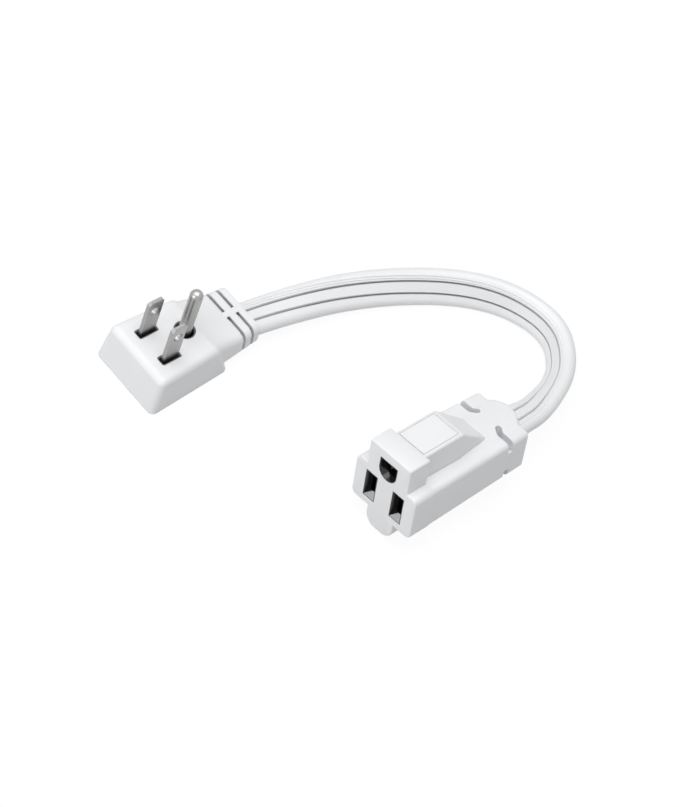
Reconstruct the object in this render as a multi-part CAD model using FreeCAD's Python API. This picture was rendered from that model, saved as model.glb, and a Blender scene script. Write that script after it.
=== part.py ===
import FreeCAD, Part
import math
import os

# A short grounded extension lead: a flat low profile plug, a flat three-core cord and an in-line connector.
# Millimetres, +Z up. The plug lies on its back with its pins up, its cord leaves along +X, and the origin is
# on the back face under the line between the two blades. The connector lies beside it on its keel, leaning
# with the twist of the cord.

# Pin pattern of a grounded 15 A plug and of the socket that takes it
blade_spacing = 12.7
ground_offset = 11.9
blade_width = 6.35
blade_thickness = 1.5
blade_length = 17.0
blade_hole_diameter = 3.6
blade_hole_height = 11.8
blade_tip_corner = 1.0
blade_tip_bevel = 0.4
blade_tip_bevel_length = 1.8
ground_pin_diameter = 4.8
ground_pin_length = 21.2
ground_root_diameter = 4.0

# Plug block, a drafted pad that narrows towards the cord
plug_height = 15.5
plug_front = 11.4
plug_end = 24.8
plug_half_width = 15.0
plan_taper_angle = 3.0
side_draft_angle = 3.1
front_draft_angle = 7.5
end_slope_angle = 23.5
plug_edge_radius = 2.5

# Plug neck, three plates on one spine round the cord
neck_length = 39.0
neck_shoulder = 17.0
neck_shoulder_drop = 0.3
neck_ribs_start = 30.6
neck_wall = 1.6
neck_end_half_width = 10.5
neck_taper_angle = 5.6
neck_draft_angle = 5.5
neck_edge_radius = 1.5
neck_groove_width = 1.4
neck_plate_width = 2.6
neck_groove_depth = 1.2
neck_groove_side_depth = 2.4
neck_spine_width = 2.4

# Recesses in the plug's face, and the bridge that holds the pins below them
recess_depth = 2.2
blade_recess_length = 8.4
blade_recess_width = 3.9
blade_recess_radius = 0.5
ground_recess_diameter = 7.8
bridge_thickness = 4.2
bridge_margin = 2.8
bridge_corner_radius = 1.5
bridge_collar_wall = 0.5
bridge_collar_drop = 0.25
bridge_clearance = 0.5

# Flat cord of three lobes, its insulated cores and their strands
lobe_radius = 2.7
lobe_pitch = 4.1
cord_edge_flats = 6
core_radius = 1.6
strand_radius = 0.9

# Crimp barrels at the ends of the blades, the pin and the contacts
barrel_half_width = 1.7
barrel_length = 6.0
barrel_floor = 0.8
barrel_tab_length = 2.2
barrel_tab_height = 2.4
bare_strand_gap = 1.4

# Connector: place of its face and sizes of its head, measured from the line between its blade slots
connector_face_x = 26.3
connector_y = -88.9
connector_lean = 12.0
keel_depth = 16.5
head_length = 9.0
head_top = 19.7
head_top_half_width = 9.6
wing_half_width = 14.2
wing_top = 9.0
wing_bottom = 9.1
wing_radius = 2.3
keel_half_width = 6.2
keel_radius = 4.6
head_edge_radius = 0.6

# Route of the cord's centre line, chosen by hand, from inside the plug to inside the leaning connector
cord_height_at_plug = plug_height - recess_depth - bridge_thickness - bridge_clearance - core_radius
cord_drop_in_connector = 1.5
connector_lean_sine = math.sin(math.radians(connector_lean))
connector_lean_cosine = math.cos(math.radians(connector_lean))
connector_z = (keel_radius + (keel_depth - keel_radius) * connector_lean_cosine
               + (keel_half_width - keel_radius) * connector_lean_sine)
cord_end_y = connector_y - cord_drop_in_connector * connector_lean_sine
cord_end_z = connector_z - cord_drop_in_connector * connector_lean_cosine
route = [
    (27.0, -2.2, cord_height_at_plug),
    (48.0, -2.2, cord_height_at_plug),
    (90.0, -15.0, 4.0),
    (126.3, -34.0, 3.3),
    (137.7, -58.5, 3.2),
    (128.9, -81.4, 5.0),
    (106.0, -88.8, 10.8),
    (90.0, cord_end_y, cord_end_z),
    (73.8, cord_end_y, cord_end_z),
]

# Lead-ins and chambers behind the connector's face
slot_mouth_width = 4.8
slot_mouth_height = 11.2
slot_width = 2.4
slot_height = 8.2
ground_mouth_radius = 3.8
ground_mouth_rise = 3.8
ground_hole_radius = 2.75
ground_hole_rise = 2.75
mouth_rim = 0.3
lead_in_depth = 2.2
carrier_front = 2.0
face_wall = 3.6
chamber_width = 4.5
chamber_height = 9.2
ground_chamber_width = 6.9
chamber_end = 25.0
chamber_wall = 1.6
back_plate_thickness = 2.5
cut_overlap = 0.2

# Spring contacts in the chambers
leaf_thickness = 0.6
leaf_gap = 1.2
leaf_mouth_gap = 2.7
leaf_height = 7.0
leaf_clearance = 0.3
ground_leaf_gap = 4.78
ground_leaf_height = 5.2
contact_front = 4.4
contact_pinch = 8.0
contact_length = 17.0

# Connector overmould: shoulders, ridge with a hip behind it, keel, end block and dome
body_step = 0.25
body_length = 55.8
body_end_half_width = 12.7
body_end_top = 7.3
body_end_bottom = 9.2
body_edge_radius = 2.2
body_end_chamfer = 0.7
ridge_top = 19.3
ridge_half_width = 7.7
ridge_draft = 0.5
ridge_length = 27.0
hip_end = 41.7
hip_end_half_width = 5.8
ridge_edge_radius = 0.7
keel_slope_start = 25.0
keel_end = 41.5
keel_end_depth = 8.2
panel_margin = 1.2
panel_line_width = 0.35
panel_line_depth = 0.25
dome_lead_in = 6.0
dome_half_width = 8.0
dome_rise = 1.4
dome_bulge = 3.4
dome_collar = 1.2
dome_edge_radius = 1.6
relief_slot_place = 46.6
relief_slot_width = 2.0
relief_slot_depth = 3.0
relief_hook_half_width = 7.6
relief_hook_radius = 2.8

blade_y = blade_spacing / 2.0
neck_ribs_top = cord_height_at_plug + lobe_radius + neck_wall
neck_underside = cord_height_at_plug - lobe_radius - neck_wall
above = FreeCAD.Vector(0.0, 0.0, 1.0)
along = FreeCAD.Vector(1.0, 0.0, 0.0)
across = FreeCAD.Vector(0.0, 1.0, 0.0)


def vector(point):
    return FreeCAD.Vector(point[0], point[1], point[2])


def tangent(degrees):
    return math.tan(math.radians(degrees))


def polygon_wire(points):
    corners = [vector(point) for point in points]
    return Part.makePolygon(corners + [corners[0]])


def prism(points, direction):
    return Part.Face(polygon_wire(points)).extrude(direction)


def box(low, high):
    size = [high[axis] - low[axis] for axis in range(3)]
    return Part.makeBox(size[0], size[1], size[2], vector(low))


def rod(radius, start, length, direction):
    return Part.makeCylinder(radius, length, vector(start), direction)


def union(shapes):
    return shapes[0].multiFuse(shapes[1:]).removeSplitter()


def slab(profile, half):
    """Solid between two flat sides: a profile of (x, z) corners, and its half width at each of them."""
    near = [(x, -half(x, z), z) for x, z in profile]
    far = [(x, half(x, z), z) for x, z in profile]
    faces = [Part.Face(polygon_wire(near)), Part.Face(polygon_wire(far))]
    for index in range(len(profile)):
        following = (index + 1) % len(profile)
        faces.append(Part.Face(polygon_wire([near[index], near[following], far[following], far[index]])))
    solid = Part.Solid(Part.Shell(faces))
    if solid.Volume < 0.0:
        solid.reverse()
    return solid


def long_edges(solid, axis, least):
    """Edges of a solid that run at least so far along one axis."""
    return [edge for edge in solid.Edges if getattr(edge.BoundBox, axis + "Length") > least]


def slanted_rod(radius, start, end):
    """Round rod between two points, cut square to X at both ends."""
    first = vector(start)
    last = vector(end)
    direction = last - first
    direction.normalize()
    spare = 2.0 * radius
    length = (last - first).Length + 2.0 * spare
    rod_solid = Part.makeCylinder(radius, length, first - direction * spare, direction)
    reach = 4.0 * radius
    low = [min(start[axis], end[axis]) - reach for axis in range(3)]
    high = [max(start[axis], end[axis]) + reach for axis in range(3)]
    low[0] = start[0]
    high[0] = end[0]
    return rod_solid.common(box(low, high))


def core_and_strands(start, end, bare_start):
    """One insulated core between two points, and its bare strands from a crimp barrel to the core."""
    strands = rod(strand_radius, bare_start, start[0] - bare_start[0], along)
    return slanted_rod(core_radius, start, end), strands


# Plug

face_z = plug_height
bridge_top = face_z - recess_depth
bridge_bottom = bridge_top - bridge_thickness
blade_foot = cord_height_at_plug - barrel_tab_height / 2.0


def plug_block():
    """Drafted pad with rounded corners that lies flat on its back."""
    def half(x, z):
        return plug_half_width - tangent(plan_taper_angle) * x - tangent(side_draft_angle) * z

    front_top = -plug_front + tangent(front_draft_angle) * plug_height
    end_top = plug_end - tangent(end_slope_angle) * plug_height
    profile = [(-plug_front, 0.0), (plug_end, 0.0), (end_top, plug_height), (front_top, plug_height)]
    block = slab(profile, half)
    rounded = [edge for edge in block.Edges if edge.CenterOfMass.z > plug_height / 4.0]
    return block.makeFillet(plug_edge_radius, rounded)


def plug_neck():
    """Tapers from the block to the cord, with two grooves that leave three plates on a spine."""
    def half(x, z):
        return (neck_end_half_width + tangent(neck_taper_angle) * (neck_length - x)
                + tangent(neck_draft_angle) * (neck_ribs_top - z))

    shoulder_top = plug_height - neck_shoulder_drop
    profile = [(neck_shoulder, neck_underside), (neck_length, neck_underside), (neck_length, neck_ribs_top),
               (neck_ribs_start, neck_ribs_top), (neck_shoulder, shoulder_top)]
    neck = slab(profile, half)
    neck = neck.makeFillet(neck_edge_radius, long_edges(neck, "X", 2.0))
    groove_start = neck_length - 2.0 * (neck_groove_width + neck_plate_width)
    for step in range(2):
        x = groove_start + step * (neck_groove_width + neck_plate_width)
        inner_half = neck_end_half_width - neck_groove_side_depth
        ring = box((x, -plug_half_width, 0.0), (x + neck_groove_width, plug_half_width, plug_height))
        core = box((x, -inner_half, neck_underside + neck_groove_depth),
                   (x + neck_groove_width, inner_half, neck_ribs_top - neck_groove_depth))
        spine = box((x, -neck_spine_width / 2.0, 0.0),
                    (x + neck_groove_width, neck_spine_width / 2.0, plug_height))
        neck = neck.cut(ring.cut(core).cut(spine))
    return neck


def plug_recesses(margin, top):
    """Sunk frames round the blades and the ground pin, less a margin, from the bridge to a height."""
    half_length = blade_recess_length / 2.0 - margin
    half_width = blade_recess_width / 2.0 - margin
    depth = top - bridge_top
    cuts = []
    for side in (-1, 1):
        pocket = box((-half_length, side * blade_y - half_width, bridge_top),
                     (half_length, side * blade_y + half_width, top))
        uprights = [edge for edge in pocket.Edges if edge.BoundBox.ZLength > depth / 2.0]
        cuts.append(pocket.makeFillet(blade_recess_radius, uprights))
    cuts.append(rod(ground_recess_diameter / 2.0 - margin, (ground_offset, 0.0, bridge_top), depth, above))
    return cuts


def bridge_collars():
    """Thin walls of the bridge that line the sunk frames."""
    outer = plug_recesses(0.0, face_z - bridge_collar_drop)
    inner = plug_recesses(bridge_collar_wall, face_z)
    return [whole.cut(hollow) for whole, hollow in zip(outer, inner)]


def bridge_blank():
    """Pre-moulded bridge that spaces the pins, wide at the blades and narrow at the ground pin."""
    reach_x = blade_recess_length / 2.0 + bridge_margin / 2.0
    reach_y = blade_y + blade_recess_width / 2.0 + bridge_margin / 2.0
    nose_x = ground_offset + ground_recess_diameter / 2.0 + bridge_margin / 2.0
    nose_y = ground_recess_diameter / 2.0 + bridge_margin / 2.0
    outline = [(-reach_x, -reach_y), (reach_x, -reach_y), (nose_x, -nose_y),
               (nose_x, nose_y), (reach_x, reach_y), (-reach_x, reach_y)]
    blank = prism([(x, y, bridge_bottom) for x, y in outline], above * bridge_thickness)
    uprights = [edge for edge in blank.Edges if edge.BoundBox.ZLength > bridge_thickness / 2.0]
    return blank.makeFillet(bridge_corner_radius, uprights)


def barrel(start, length):
    """Crimp barrel along +X, pressed square, closed at its start, with a bore for the strands."""
    x, y, z = start
    pressed = box((x, y - barrel_half_width, z - barrel_half_width),
                  (x + length, y + barrel_half_width, z + barrel_half_width))
    return pressed.cut(rod(strand_radius, (x + barrel_floor, y, z), length, along))


def blade(side):
    y = side * blade_y
    half_width = blade_width / 2.0
    half_thickness = blade_thickness / 2.0
    tip = face_z + blade_length
    shoulder = tip - blade_tip_corner
    outline = [(-half_width, blade_foot), (half_width, blade_foot), (half_width, shoulder),
               (half_width - blade_tip_corner, tip), (blade_tip_corner - half_width, tip),
               (-half_width, shoulder)]
    plate = prism([(x, y - half_thickness, z) for x, z in outline], across * blade_thickness)
    bevel_foot = tip - blade_tip_bevel_length
    tip_half = half_thickness - blade_tip_bevel
    section = [(-half_thickness, blade_foot), (half_thickness, blade_foot), (half_thickness, bevel_foot),
               (tip_half, tip), (-tip_half, tip), (-half_thickness, bevel_foot)]
    bevelled = prism([(-half_width, y + offset, z) for offset, z in section], along * blade_width)
    hole = rod(blade_hole_diameter / 2.0, (0.0, y - blade_thickness, face_z + blade_hole_height),
               2.0 * blade_thickness, across)
    tab = box((0.0, y - half_thickness, blade_foot),
              (half_width + barrel_tab_length, y + half_thickness, blade_foot + barrel_tab_height))
    tail_x = half_width + barrel_tab_length - barrel_floor / 2.0
    tail = barrel((tail_x, y, cord_height_at_plug), barrel_length)
    return union([plate.common(bevelled).cut(hole), tab, tail])


def ground_pin():
    radius = ground_pin_diameter / 2.0
    foot = cord_height_at_plug - barrel_half_width
    dome_z = face_z + ground_pin_length - radius
    root = rod(ground_root_diameter / 2.0, (ground_offset, 0.0, foot), bridge_top - foot, above)
    shank = rod(radius, (ground_offset, 0.0, bridge_top), dome_z - bridge_top, above)
    tip = Part.makeSphere(radius, FreeCAD.Vector(ground_offset, 0.0, dome_z))
    tail_x = ground_offset + ground_root_diameter / 2.0 - barrel_floor / 2.0
    tail = barrel((tail_x, 0.0, cord_height_at_plug), barrel_length)
    return union([union([shank, tip]), root, tail])


def plug_core(side):
    """From past its barrel a core slants to its lobe of the cord."""
    end_x, end_y, end_z = route[0]
    root = blade_width / 2.0 + barrel_tab_length if side else ground_offset + ground_root_diameter / 2.0
    barrel_start = root - barrel_floor / 2.0
    start = (barrel_start + barrel_length + bare_strand_gap, side * blade_y, end_z)
    end = (end_x, end_y + side * lobe_pitch, end_z)
    return core_and_strands(start, end, (barrel_start + barrel_floor, start[1], end_z))


# Cord


def cord_profile():
    """Flat outline at the cord's start in the plug, with round edges in a few flats and plain lobes."""
    middle = vector(route[0])
    corners = []
    for side in (1, -1):
        for step in range(cord_edge_flats + 1):
            angle = math.pi * (step / cord_edge_flats - 0.5)
            outward = side * (lobe_pitch + lobe_radius * math.cos(angle))
            corners.append(middle + across * outward + above * (side * lobe_radius * math.sin(angle)))
    return polygon_wire(corners)


def cord():
    """Flat section led along the route: a prism on each run and an arc, as large as fits, at each point."""
    corners = [vector(point) for point in route]
    face = Part.Face(cord_profile())
    section_area = face.Area
    pieces = []
    radii = []
    length = 0.0
    start = corners[0]
    for before, corner, after in zip(corners, corners[1:], corners[2:]):
        arriving = corner - before
        leaving = after - corner
        turn = arriving.getAngle(leaving)
        reach = 0.45 * min(arriving.Length, leaving.Length)
        radius = reach / math.tan(turn / 2.0)
        arriving.normalize()
        leaving.normalize()
        inward = leaving - arriving
        inward.normalize()
        centre = corner + inward * (radius / math.cos(turn / 2.0))
        axis = arriving.cross(leaving)
        run = corner - arriving * reach - start
        pieces.append(face.extrude(run))
        face.translate(run)
        pieces.append(face.revolve(centre, axis, math.degrees(turn)))
        face.rotate(centre, axis, math.degrees(turn))
        start = corner + leaving * reach
        radii.append(round(radius, 1))
        length += run.Length + radius * turn
    run = corners[-1] - start
    pieces.append(face.extrude(run))
    length += run.Length
    solid = union(pieces)
    print("cord radii", radii, "length", round(length, 1))
    print("cord volume over section times length", round(solid.Volume / (section_area * length), 4))
    return solid


# Connector


def set_in_place(shape):
    """Leans a piece made in the connector's own axes and moves it to its place."""
    moved = shape.copy()
    moved.rotate(FreeCAD.Vector(0.0, 0.0, 0.0), along, -connector_lean)
    moved.translate(FreeCAD.Vector(connector_face_x, connector_y, connector_z))
    return moved


def rounded_box(x, length, low, high, radius):
    """A bar along X between two corners of its section, with its four long edges rounded."""
    bar = box((x, low[0], low[1]), (x + length, high[0], high[1]))
    return bar.makeFillet(radius, long_edges(bar, "X", length / 2.0))


def keel_bar(x, length, half):
    """A bar along X below the slots' middle, with its two lower edges rounded."""
    bar = box((x, -half, -keel_depth), (x + length, half, 0.0))
    lower = [edge for edge in long_edges(bar, "X", length / 2.0) if edge.CenterOfMass.z < -keel_depth / 2.0]
    return bar.makeFillet(keel_radius, lower)


def connector_head():
    """Front block: two wings, a higher block over them and a round keel below."""
    wings = rounded_box(0.0, head_length, (-wing_half_width, -wing_bottom), (wing_half_width, wing_top),
                        wing_radius)
    top = box((0.0, -head_top_half_width, 0.0), (head_length, head_top_half_width, head_top))
    top_edges = [edge for edge in long_edges(top, "X", head_length / 2.0)
                 if edge.CenterOfMass.z > head_top / 2.0]
    top = top.makeFillet(head_edge_radius, top_edges)
    keel = keel_bar(0.0, head_length, keel_half_width)
    head = union([wings, top, keel])
    rim = [edge for edge in head.Edges if edge.BoundBox.XMax < 0.01]
    return head.makeChamfer(head_edge_radius, rim)


def carrier_outline():
    """Section of the contact carrier behind the face, and of the plate that closes it."""
    low_half = blade_y + chamber_width / 2.0 + chamber_wall
    low_z = chamber_height / 2.0 + chamber_wall
    top_half = ground_chamber_width / 2.0 + chamber_wall
    top_z = ground_offset + ground_chamber_width / 2.0 + chamber_wall
    return [(-low_half, -low_z), (low_half, -low_z), (low_half, low_z), (top_half, low_z),
            (top_half, top_z), (-top_half, top_z), (-top_half, low_z), (-low_half, low_z)]


def slot_outline(side, x, width, height):
    half_y = width / 2.0
    half_z = height / 2.0
    y = side * blade_y
    return polygon_wire([(x, y - half_y, -half_z), (x, y + half_y, -half_z),
                         (x, y + half_y, half_z), (x, y - half_y, half_z)])


def ground_outline(x, radius, rise):
    """Hole that is round below and flat above."""
    left = FreeCAD.Vector(x, -radius, ground_offset)
    right = FreeCAD.Vector(x, radius, ground_offset)
    below = FreeCAD.Vector(x, 0.0, ground_offset - radius)
    top_left = FreeCAD.Vector(x, -radius, ground_offset + rise)
    top_right = FreeCAD.Vector(x, radius, ground_offset + rise)
    sides = Part.makePolygon([right, top_right, top_left, left])
    return Part.Wire([Part.Arc(left, below, right).toShape()] + sides.Edges)


def carrier_blank():
    """Contact carrier, with three snouts that reach through the head to its face, before it is cut."""
    points = [(carrier_front, y, z) for y, z in carrier_outline()]
    pieces = [prism(points, along * (chamber_end - carrier_front))]
    snout = along * (carrier_front + cut_overlap)
    rim = 2.0 * mouth_rim
    for side in (-1, 1):
        outline = slot_outline(side, 0.0, slot_mouth_width + rim, slot_mouth_height + rim)
        pieces.append(Part.Face(outline).extrude(snout))
    outline = ground_outline(0.0, ground_mouth_radius + mouth_rim, ground_mouth_rise + mouth_rim)
    pieces.append(Part.Face(outline).extrude(snout))
    return union(pieces)


def slot_cut(side):
    """Sloping mouth, straight slot and contact chamber for one blade."""
    y = side * blade_y
    mouth = Part.makeLoft([slot_outline(side, 0.0, slot_mouth_width, slot_mouth_height),
                           slot_outline(side, lead_in_depth, slot_width, slot_height)], True, True)
    slot = box((lead_in_depth - cut_overlap, y - slot_width / 2.0, -slot_height / 2.0),
               (face_wall + cut_overlap, y + slot_width / 2.0, slot_height / 2.0))
    chamber = box((face_wall, y - chamber_width / 2.0, -chamber_height / 2.0),
                  (chamber_end, y + chamber_width / 2.0, chamber_height / 2.0))
    return [mouth, slot, chamber]


def ground_cut():
    """The same for the ground pin."""
    mouth = Part.makeLoft([ground_outline(0.0, ground_mouth_radius, ground_mouth_rise),
                           ground_outline(lead_in_depth, ground_hole_radius, ground_hole_rise)], True, True)
    hole_face = Part.Face(ground_outline(lead_in_depth - cut_overlap, ground_hole_radius, ground_hole_rise))
    hole = hole_face.extrude(along * (face_wall - lead_in_depth + 2.0 * cut_overlap))
    half = ground_chamber_width / 2.0
    chamber = box((face_wall, -half, ground_offset - half), (chamber_end, half, ground_offset + half))
    return [mouth, hole, chamber]


def contact_carrier():
    cuts = slot_cut(-1) + slot_cut(1) + ground_cut()
    return carrier_blank().cut(union(cuts))


def connector_core(side):
    """From the end of its contact a core slants through the back plate to its lobe of the cord."""
    start_z = 0.0 if side else ground_offset
    start = (contact_length + barrel_length + bare_strand_gap, side * blade_y, start_z)
    end = (route[-1][0] - connector_face_x, side * lobe_pitch, -cord_drop_in_connector)
    return core_and_strands(start, end, (contact_length + barrel_floor, start[1], start_z))


def back_plate_blank():
    """Plate that closes the chambers behind the contacts."""
    points = [(chamber_end, y, z) for y, z in carrier_outline()]
    return prism(points, along * back_plate_thickness)


def contact(y, z, gap, mouth_gap, height, width):
    """Two spring leaves, folded from one strip, that pinch a pin, with a crimp barrel behind them."""
    base_half = width / 2.0
    base_start = contact_length - leaf_thickness
    upper = [(contact_front, mouth_gap / 2.0), (contact_pinch, gap / 2.0),
             (base_start, base_half - leaf_thickness)]
    outer = [(x, half + leaf_thickness) for x, half in upper]
    outer[-1] = (contact_length, base_half)
    profile = [(x, y - half) for x, half in outer]
    profile += [(x, y + half) for x, half in reversed(outer)]
    profile += [(x, y + half) for x, half in upper]
    profile += [(x, y - half) for x, half in reversed(upper)]
    strip = prism([(x, offset, z - height / 2.0) for x, offset in profile], above * height)
    tail = barrel((contact_length - leaf_thickness / 2.0, y, z), barrel_length + leaf_thickness / 2.0)
    return union([strip, tail])


def blade_contact(side):
    width = chamber_width - 2.0 * leaf_clearance
    return contact(side * blade_y, 0.0, leaf_gap, leaf_mouth_gap, leaf_height, width)


def ground_contact():
    width = ground_chamber_width - 2.0 * leaf_clearance
    mouth_gap = width - 2.0 * leaf_thickness
    return contact(0.0, ground_offset, ground_leaf_gap, mouth_gap, ground_leaf_height, width)


def body_shoulders():
    """Rounded bar that narrows and droops a little from the head to the end block."""
    front_half = wing_half_width - body_step
    narrowing = (front_half - body_end_half_width) / (body_length - head_length)

    def half(x, z):
        return front_half - narrowing * (x - head_length)

    profile = [(head_length, body_step - wing_bottom), (body_length, -body_end_bottom),
               (body_length, body_end_top), (head_length, wing_top - body_step)]
    bar = slab(profile, half)
    bar = bar.makeFillet(body_edge_radius, long_edges(bar, "X", body_length / 2.0))
    corners = [edge for edge in bar.Edges if edge.BoundBox.XMin > body_length - 0.01]
    return bar.makeChamfer(body_end_chamfer, corners)


def body_ridge():
    """Raised back over the ground chamber, with a sloping hip behind it and a bare panel line on top."""
    lean = ridge_draft / ridge_top

    def half(x, z):
        return ridge_half_width - lean * z

    profile = [(head_length, 0.0), (hip_end, 0.0), (hip_end, body_end_top), (ridge_length, ridge_top),
               (head_length, ridge_top)]
    ridge = slab(profile, half)
    for side in (-1, 1):
        wedge = [(ridge_length, side * ridge_half_width), (hip_end, side * hip_end_half_width),
                 (hip_end, side * wing_half_width), (ridge_length, side * wing_half_width)]
        ridge = ridge.cut(prism([(x, y, 0.0) for x, y in wedge], above * ridge_top))
    crest = [edge for edge in ridge.Edges
             if edge.BoundBox.ZMin > ridge_top - 0.01 and edge.CenterOfMass.x > head_length + 0.1]
    ridge = ridge.makeFillet(ridge_edge_radius, crest)
    panel_half = ridge_half_width - ridge_draft - panel_margin
    panel_low = (head_length + panel_margin, -panel_half, ridge_top - panel_line_depth)
    panel_high = (ridge_length - panel_margin, panel_half, ridge_top + panel_line_depth)
    inner_low = (panel_low[0] + panel_line_width, panel_line_width - panel_half, panel_low[2])
    inner_high = (panel_high[0] - panel_line_width, panel_half - panel_line_width, panel_high[2])
    return ridge.cut(box(panel_low, panel_high).cut(box(inner_low, inner_high)))


def body_keel():
    """Round keel under the carrier that the connector stands on, sloping up to the end block."""
    keel = keel_bar(head_length, keel_end - head_length, keel_half_width - body_step)
    profile = [(keel_slope_start, -keel_depth), (keel_end, -keel_end_depth), (keel_end, -keel_depth)]
    wedge = prism([(x, -wing_half_width, z) for x, z in profile], across * (2.0 * wing_half_width))
    return keel.cut(wedge)


def body_dome():
    """Low hump over the cord's way in, arched across and bulging out of the end block's rear wall."""
    start = hip_end - dome_lead_in
    bottom = -cord_drop_in_connector - lobe_radius - dome_collar
    top = body_end_top + dome_rise
    crown_radius = (dome_half_width ** 2 + dome_rise ** 2) / (2.0 * dome_rise)
    corners = [FreeCAD.Vector(body_length, dome_half_width, bottom),
               FreeCAD.Vector(start, dome_half_width, bottom),
               FreeCAD.Vector(start, -dome_half_width, bottom),
               FreeCAD.Vector(body_length, -dome_half_width, bottom)]
    rear = Part.Arc(corners[3], FreeCAD.Vector(body_length + dome_bulge, 0.0, bottom), corners[0]).toShape()
    outline = Part.Wire(Part.makePolygon(corners).Edges + [rear])
    column = Part.Face(outline).extrude(above * (top - bottom))
    crown = rod(crown_radius, (start, 0.0, top - crown_radius), body_length + dome_bulge - start, along)
    hump = column.common(crown)
    rims = [edge for edge in hump.Edges if edge.BoundBox.XMax > body_length + dome_bulge / 2.0
            and edge.BoundBox.ZMin > (bottom + top) / 2.0]
    return hump.makeFillet(dome_edge_radius, rims)


def relief_slots():
    """Hooked slots that let the end block bend with the cord, in the upper and the lower face."""
    half = relief_slot_width / 2.0
    turn_y = relief_hook_half_width
    centre_x = relief_slot_place + relief_hook_radius
    outer_radius = relief_hook_radius + half
    inner_radius = relief_hook_radius - half
    side_reach = wing_half_width + 1.0
    cuts = []
    upper_floor = body_end_top - relief_slot_depth
    lower_floor = relief_slot_depth - body_end_bottom
    for floor, deep in ((upper_floor, above * head_top), (lower_floor, above * -head_top)):
        for side in (-1, 1):
            pivot = FreeCAD.Vector(centre_x, side * turn_y, floor)
            start = pivot - along * outer_radius
            tip = pivot - across * (side * outer_radius)
            diagonal = (along + across * side) * math.sqrt(0.5)
            inner_start = pivot - along * inner_radius
            inner_tip = pivot - across * (side * inner_radius)
            start_side = start + across * (side * (side_reach - turn_y))
            inner_side = inner_start + across * (side * (side_reach - turn_y))
            outline = Part.Wire([
                Part.LineSegment(start_side, start).toShape(),
                Part.Arc(start, pivot - diagonal * outer_radius, tip).toShape(),
                Part.Arc(tip, tip + across * (side * half) + along * half, inner_tip).toShape(),
                Part.Arc(inner_tip, pivot - diagonal * inner_radius, inner_start).toShape(),
                Part.LineSegment(inner_start, inner_side).toShape(),
                Part.LineSegment(inner_side, start_side).toShape(),
            ])
            cuts.append(Part.Face(outline).extrude(deep))
    return cuts


def connector_body_blank():
    blank = union([body_shoulders(), body_ridge(), body_keel(), body_dome()])
    return blank.cut(relief_slots())


# Put together

hot_side = -1
neutral_side = 1
nodes = {}
lead = cord()
nodes["cord"] = lead

plug_sides = {"hot": hot_side, "neutral": neutral_side, "ground": 0}
connector_sides = {"hot": neutral_side, "neutral": hot_side, "ground": 0}
nodes["hot_blade"] = blade(hot_side)
nodes["neutral_blade"] = blade(neutral_side)
nodes["ground_pin"] = ground_pin()
pins = [nodes["hot_blade"], nodes["neutral_blade"], nodes["ground_pin"]]
bridge = bridge_blank()
nodes["plug_bridge"] = union([bridge] + bridge_collars()).cut(union(pins))
wires = []
for name, side in plug_sides.items():
    insulation, strands = plug_core(side)
    nodes["plug_" + name + "_core"] = insulation
    nodes["plug_" + name + "_strands"] = strands
    wires += [insulation, strands]
plug_blank = union([plug_block(), plug_neck()])
recesses = plug_recesses(0.0, face_z + cut_overlap)
nodes["plug_body"] = plug_blank.cut(recesses + [bridge] + pins + wires + [lead])

carrier = set_in_place(carrier_blank())
nodes["connector_face"] = set_in_place(connector_head()).cut(carrier)
nodes["contact_carrier"] = set_in_place(contact_carrier())
nodes["hot_contact"] = set_in_place(blade_contact(connector_sides["hot"]))
nodes["neutral_contact"] = set_in_place(blade_contact(connector_sides["neutral"]))
nodes["ground_contact"] = set_in_place(ground_contact())
wires = []
for name, side in connector_sides.items():
    insulation, strands = [set_in_place(shape) for shape in connector_core(side)]
    nodes["connector_" + name + "_core"] = insulation
    nodes["connector_" + name + "_strands"] = strands
    wires += [insulation, strands]
plate = set_in_place(back_plate_blank())
nodes["connector_back_plate"] = plate.cut(wires)
inner = [carrier, plate]
nodes["connector_body"] = set_in_place(connector_body_blank()).cut(inner + wires + [lead])

os.makedirs("parts", exist_ok=True)
for name, shape in nodes.items():
    if len(shape.Solids) == 1:
        shape = shape.Solids[0]
    shape.exportStep("parts/" + name + ".step")
    print(name, "valid", shape.isValid(), "solids", len(shape.Solids), "volume", round(shape.Volume, 1))
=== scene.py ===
import math
import bmesh
import bpy
from mathutils import Matrix, Vector


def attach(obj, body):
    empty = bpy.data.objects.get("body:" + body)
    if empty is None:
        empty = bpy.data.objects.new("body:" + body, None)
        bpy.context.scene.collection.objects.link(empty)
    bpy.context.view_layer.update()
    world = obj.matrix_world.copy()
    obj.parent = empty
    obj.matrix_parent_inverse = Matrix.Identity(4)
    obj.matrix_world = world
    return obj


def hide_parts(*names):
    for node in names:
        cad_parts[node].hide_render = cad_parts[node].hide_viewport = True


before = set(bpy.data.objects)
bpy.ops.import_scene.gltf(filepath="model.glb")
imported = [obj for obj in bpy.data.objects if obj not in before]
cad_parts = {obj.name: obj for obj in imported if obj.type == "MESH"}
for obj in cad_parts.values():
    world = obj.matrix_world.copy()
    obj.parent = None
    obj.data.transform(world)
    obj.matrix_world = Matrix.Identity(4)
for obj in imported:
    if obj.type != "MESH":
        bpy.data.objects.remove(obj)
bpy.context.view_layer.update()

# Camera
# A long lens above and behind the plug's blades, so the cord runs away to the right and the connector's
# socket faces the viewer. The lens is given by its focal length in pixels of a picture 807 pixels high.
mm = 0.001
picture_height = 807.0
focal_pixels = 2600.0
camera_right = (0.72980, -0.63471, 0.25406)
camera_up = (0.41260, 0.70520, 0.57658)
camera_back = (-0.54512, -0.31596, 0.77654)
camera_place = (-442.70 * mm, -330.93 * mm, 702.02 * mm)
camera_data = bpy.data.cameras.new("camera")
camera_data.sensor_fit = "VERTICAL"
camera_data.sensor_height = 36.0
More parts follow.
